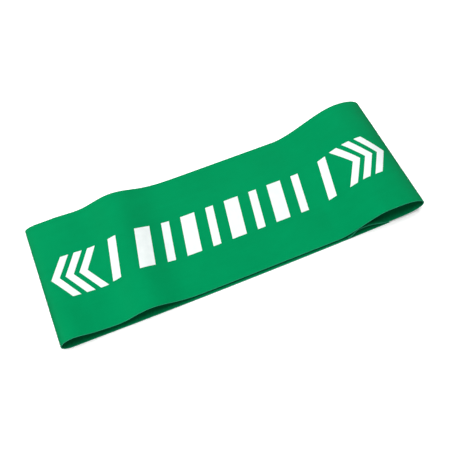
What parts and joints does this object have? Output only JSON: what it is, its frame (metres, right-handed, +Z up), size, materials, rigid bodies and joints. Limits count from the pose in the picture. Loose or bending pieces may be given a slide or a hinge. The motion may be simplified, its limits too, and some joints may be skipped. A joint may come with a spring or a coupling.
{
  "type": "loop resistance band",
  "caption": "Flat closed loop of thin green latex strip, lying as two plies with a fold at each end, for resistance exercise.",
  "frame": {"origin": "centre of the loop's footprint, on the ground under the lower ply", "axes": "+X along the loop from the left fold to the right fold, +Y across the strip from front edge to back edge, +Z up from the lower ply to the upper ply"},
  "size_m": [0.2088, 0.077, 0.0169],
  "materials": {
    "latex": "smooth satin latex with a faint dusting of powder",
    "adhesive": "dull translucent rubber cement",
    "print": "flexible white screen-print ink, semi-matte"
  },
  "bodies": {
    "lower_ply": {"lower_ply": "latex"},
    "lower_ply_left": {"lower_ply_left": "latex"},
    "left_fold": {"left_fold": "latex", "left_end_print": "print"},
    "upper_ply_left": {"upper_ply_left": "latex", "bars_left_print": "print"},
    "upper_ply_right": {"upper_ply_right": "latex", "bars_right_print": "print"},
    "right_fold": {"right_fold": "latex", "right_end_print": "print", "seam_underlap": "latex", "seam_adhesive": "adhesive"},
    "lower_ply_right": {"lower_ply_right": "latex"}
  },
  "joints": [
    {"name": "stretch", "type": "slide", "parent": "lower_ply", "child": "lower_ply_left", "axis": [-1, 0, 0], "range_m": [0, 0.2], "stiffness_N_per_m": 200},
    {"name": "open", "type": "slide", "parent": "lower_ply_left", "child": "left_fold", "axis": [0.3872, 0, 0.922], "range_m": [0, 0.0271]},
    {"name": "open_upper_left", "type": "slide", "parent": "left_fold", "child": "upper_ply_left", "axis": [-0.3872, 0, 0.922], "range_m": [0, 0.0271]},
    {"name": "stretch_upper", "type": "slide", "parent": "upper_ply_left", "child": "upper_ply_right", "axis": [1, 0, 0], "range_m": [0, 0.2]},
    {"name": "open_upper_right", "type": "slide", "parent": "upper_ply_right", "child": "right_fold", "axis": [-0.3872, 0, -0.922], "range_m": [0, 0.0271]},
    {"name": "open_lower_right", "type": "slide", "parent": "right_fold", "child": "lower_ply_right", "axis": [0.3872, 0, -0.922], "range_m": [0, 0.0271]}
  ],
  "couplings": [
    {"joint": "stretch_upper", "follows": "stretch", "ratio": 1},
    {"joint": "open_upper_left", "follows": "open", "ratio": 1},
    {"joint": "open_upper_right", "follows": "open", "ratio": 1},
    {"joint": "open_lower_right", "follows": "open", "ratio": 1}
  ]
}
